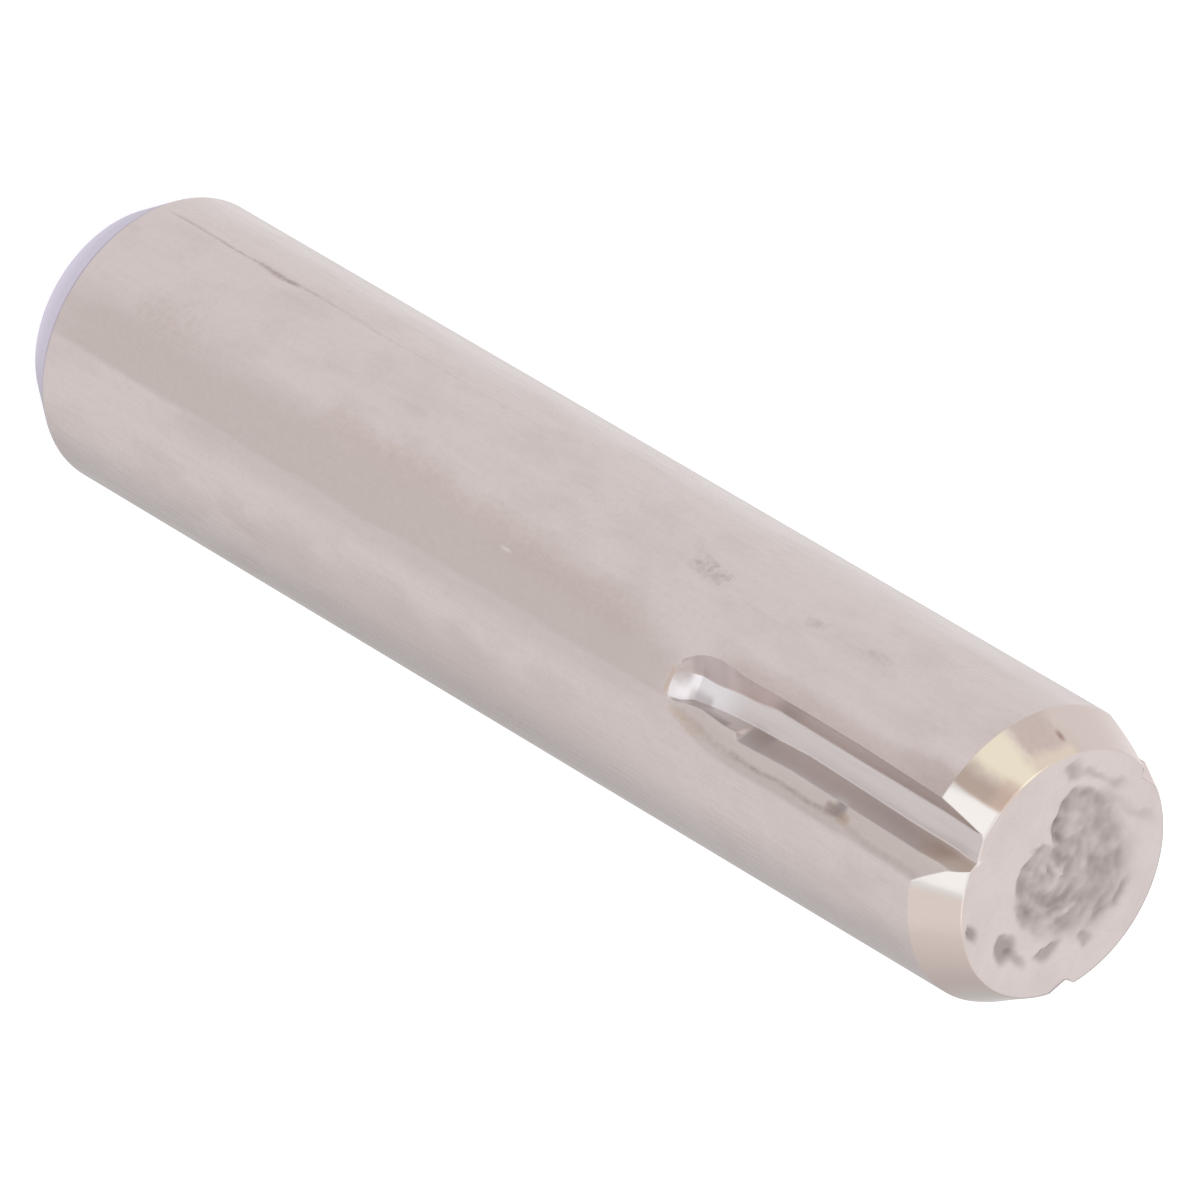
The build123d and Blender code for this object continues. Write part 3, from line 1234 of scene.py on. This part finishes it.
    def finishes(self) -> dict[Zone, SteelFinish]:
        """Describes every zone's finish.

        Returns:
            The finishes by zone.
        """
        return {
            Zone.SHANK: self.shank(),
            # The rear chamfer's pale bluish colour and edge tint, and its lighter band toward the rear face,
            # are painted reflection; it is darker along its top edge.
            Zone.REAR_CHAMFER: SteelFinish(
                "turned_rear_chamfer", (215, 208, 220), 0.22, streak=0.02, mottle=0.05, bump=0.0006,
                edge_tint=(0.75, 0.73, 0.8, 1),
                stains_and_painted_light=(
                    StainOrPaintedLight((235, 229, 240), 0.7, ALL_ROUND, (-1, 0.35), height_ease=0.7),
                    StainOrPaintedLight((168, 155, 160), 0.7, ALL_ROUND, (0.94, 1.2), height_ease=0.12),
                )),
            Zone.FRONT_CHAMFER: self.front_chamfer(),
            Zone.FRONT_FACE: SteelFinish(
                "cropped_face", (216, 205, 202), 0.28, mottle=0.16, bump=0.0007, bump_scale=(3, 3, 3),
                tear=Tear((150, 138, 136), 0.38, 6)),
            Zone.REAR_FACE: SteelFinish(
                "rear_face", (205, 195, 193), 0.3, mottle=0.10, bump=0.0012, bump_scale=(5, 5, 5)),
            Zone.ROOT: SteelFinish(
                "pressed_root", (208, 200, 199), 0.36, streak=0.08, mottle=0.04, bump=0.0005,
                stains_and_painted_light=self.root_light_and_shade()),
            Zone.NEAR_WALL: SteelFinish(
                "pressed_near_wall", (224, 209, 206), 0.32, streak=0.10, mottle=0.10, bump=0.0008,
                stains_and_painted_light=self.near_wall_shade()),
            Zone.FAR_WALL: SteelFinish(
                "pressed_far_wall", (205, 198, 195), 0.32, streak=0.10, mottle=0.10, bump=0.0008,
                stains_and_painted_light=self.far_wall_light_and_shade()),
            Zone.FLAT: SteelFinish(
                "pressed_flat", (201, 190, 185), 0.26, streak=0.08, mottle=0.12, bump=0.0008,
                stains_and_painted_light=self.groove_marks_and_shade()),
        }


@dataclass
class Studio:
    """The pale floor, the soft world and the lamps."""

    floor_half: float = 3.0  # metres
    dim_way: float = 55.0  # the row direction in which the world dims
    dim_power: float = 3.0
    dimming: float = 0.36
    bright_way: float = 112.0
    bright_power: float = 25.0
    brightening: float = 0.10
    band_top: Point = (0.5, 0)  # the heights of a direction between which those two come in
    band_foot: Point = (-0.88, -0.72)
    floor_paint: Colour = (0.9, 0.9, 0.9, 1)
    floor_glow: float = 0.35
    lamp_distance: float = 0.45  # metres
    lamp_aim: float = 0.028  # metres up, at the grooved end
    lamp_power: float = 4.0  # watts per square metre at a brightness of 1

    def floor(self) -> bpy.types.Object:
        """Makes the floor, white to the camera but for the pin's shadow.

        Returns:
            The floor.
        """
        mesh = bmesh.new()
        bmesh.ops.create_grid(mesh, x_segments=1, y_segments=1, size=self.floor_half)
        floor = add_mesh("floor", mesh)
        material = bpy.data.materials.new("pale_floor")
        material.use_nodes = True
        bench = NodeBench(material.node_tree)
        paint = bench.node("ShaderNodeBsdfDiffuse")
        paint.inputs["Color"].default_value = self.floor_paint
        seen = bench.node("ShaderNodeLightPath").outputs["Is Camera Ray"]
        glow = bench.node("ShaderNodeEmission", {"Strength": bench.math("MULTIPLY", seen, self.floor_glow)})
        both = bench.node("ShaderNodeAddShader", {0: paint.outputs[0], 1: glow.outputs[0]})
        bench.node("ShaderNodeOutputMaterial", {0: both.outputs[0]})
        floor.data.materials.append(material)
        floor.visible_glossy = False
        return floor

    def world(self) -> None:
        """Makes the world: white to the camera, and a soft tent that dims to one side for the metal."""
        world = bpy.data.worlds.new("soft_tent")
        bpy.context.scene.world = world
        world.use_nodes = True
        bench = NodeBench(world.node_tree)
        way = bench.node("ShaderNodeTexCoord").outputs["Generated"]
        x, y, z = bench.node("ShaderNodeSeparateXYZ", {0: way}).outputs
        flat = bench.node("ShaderNodeCombineXYZ", {0: x, 1: y}).outputs[0]
        level = bench.node("ShaderNodeVectorMath", {0: flat}, operation="NORMALIZE").outputs[0]
        dim = bench.math("MULTIPLY", self.lobe(bench, level, self.dim_way, self.dim_power), self.dimming)
        bright = self.lobe(bench, level, self.bright_way, self.bright_power)
        change = bench.math("SUBTRACT", bench.math("MULTIPLY", bright, self.brightening), dim)
        band = bench.math("MULTIPLY", bench.ease(z, *self.band_top), bench.ease(z, *self.band_foot))
        tent = bench.math("ADD", 1, bench.math("MULTIPLY", change, band))
        seen = bench.node("ShaderNodeLightPath").outputs["Is Camera Ray"]
        background = bench.node("ShaderNodeBackground", {"Strength": bench.math("MAXIMUM", seen, tent)})
        background.inputs["Color"].default_value = (1, 1, 1, 1)
        bench.node("ShaderNodeOutputWorld", {0: background.outputs[0]})

    @staticmethod
    def lobe(bench: NodeBench, level: Socket, way: float, power: float) -> Socket:
        """Measures how near a level direction lies to a way.

        Args:
            bench: The world's bench.
            level: The level direction, of length 1.
            way: The row direction that it is measured from.
            power: How fast the result falls off.

        Returns:
            1 along the way, and 0 from a quarter turn off.
        """
        ahead = (math.cos(math.radians(way)), math.sin(math.radians(way)), 0)
        toward = bench.node("ShaderNodeVectorMath", {0: level, 1: ahead}, operation="DOT_PRODUCT")
        return bench.math("POWER", bench.math("MAXIMUM", toward.outputs["Value"], 0), power)

    def lamp(self, name: str, turn: Point, rise: Point, brightness: float) -> bpy.types.Object:
        """Hangs a soft box over a window of directions seen from the pin.

        Args:
            name: The lamp's name.
            turn: The row directions between which it hangs.
            rise: The elevations between which it hangs.
            brightness: Its brightness, where 1 is the white of the tent.

        Returns:
            The lamp.
        """
        light = bpy.data.lights.new(name, "AREA")
        light.shape = "RECTANGLE"
        light.size = 2 * self.lamp_distance * math.tan(math.radians((turn[1] - turn[0]) / 2))
        light.size_y = 2 * self.lamp_distance * math.tan(math.radians((rise[1] - rise[0]) / 2))
        light.energy = self.lamp_power * light.size * light.size_y * brightness
        lamp = add_object(name, light)
        way, up = math.radians(sum(turn) / 2), math.radians(sum(rise) / 2)
        out = Vector((math.cos(way) * math.cos(up), math.sin(way) * math.cos(up), math.sin(up)))
        lamp.location = out * self.lamp_distance + Vector((0, 0, self.lamp_aim))
        lamp.rotation_mode = "QUATERNION"
        lamp.rotation_quaternion = out.to_track_quat("Z", "Y")
        lamp.visible_camera = False
        return lamp

    def lamps(self) -> None:
        """Hangs every lamp."""
        self.lamp("front_strip", (-111.5, -44.5), (6, 30), 0.31)
        self.lamp("overhead", (-150, -30), (45, 85), 0.25)


@dataclass
class PhotoCamera:
    """The camera, at the photograph's angle: it looks down at the grooved end and is rolled."""

    azimuth: float = -7.501
    elevation: float = 40.527
    roll: float = -120.626
    distance: float = 0.4004  # metres, from the middle of the pin
    aim_height: float = 0.01471
    lens: float = 600.0

    def place(self) -> bpy.types.Object:
        """Makes the camera and gives it to the scene.

        Returns:
            The camera.
        """
        data = bpy.data.cameras.new("photo_camera")
        data.lens = self.lens
        camera = add_object("photo_camera", data)
        around, above = math.radians(self.azimuth), math.radians(self.elevation)
        level = math.cos(above)
        back = Vector((math.sin(around) * level, -math.cos(around) * level, math.sin(above)))
        level_right = Vector((0, 0, 1)).cross(back).normalized()
        level_up = back.cross(level_right)
        turn = math.radians(self.roll)
        right = level_right * math.cos(turn) - level_up * math.sin(turn)
        up = level_right * math.sin(turn) + level_up * math.cos(turn)
        stand = Matrix((right, up, back)).transposed().to_4x4()
        stand.translation = Vector((0, 0, self.aim_height)) + back * self.distance
        camera.matrix_world = stand
        bpy.context.scene.camera = camera
        return camera


def dress_pin() -> bpy.types.Object:
    """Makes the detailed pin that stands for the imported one.

    Returns:
        The pin's object.
    """
    _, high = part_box(NODE)
    pin = Pin(radius=high.x / METRES - SLACK, length=high.z / METRES)
    mesh = pin.mesh()
    bmesh.ops.scale(mesh, vec=(METRES,) * 3, verts=mesh.verts[:])
    piece = add_mesh("cam_pin_steel", mesh)
    finishes = Dressing(pin).finishes()
    for zone in Zone:
        piece.data.materials.append(finishes[zone].material())
    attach(piece, BODY)
    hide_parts(NODE)
    LOG.info("%s has %d faces on body %s", piece.name, len(piece.data.polygons), BODY)
    return piece


def main() -> None:
    """Builds the scene in order."""
    logging.basicConfig(level=logging.INFO, format="%(name)s: %(message)s")
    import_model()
    bpy.context.scene.view_settings.view_transform = "Standard"
    PhotoCamera().place()
    studio = Studio()
    studio.floor()
    studio.world()
    studio.lamps()
    dress_pin()


if __name__ == "__main__":
    main()
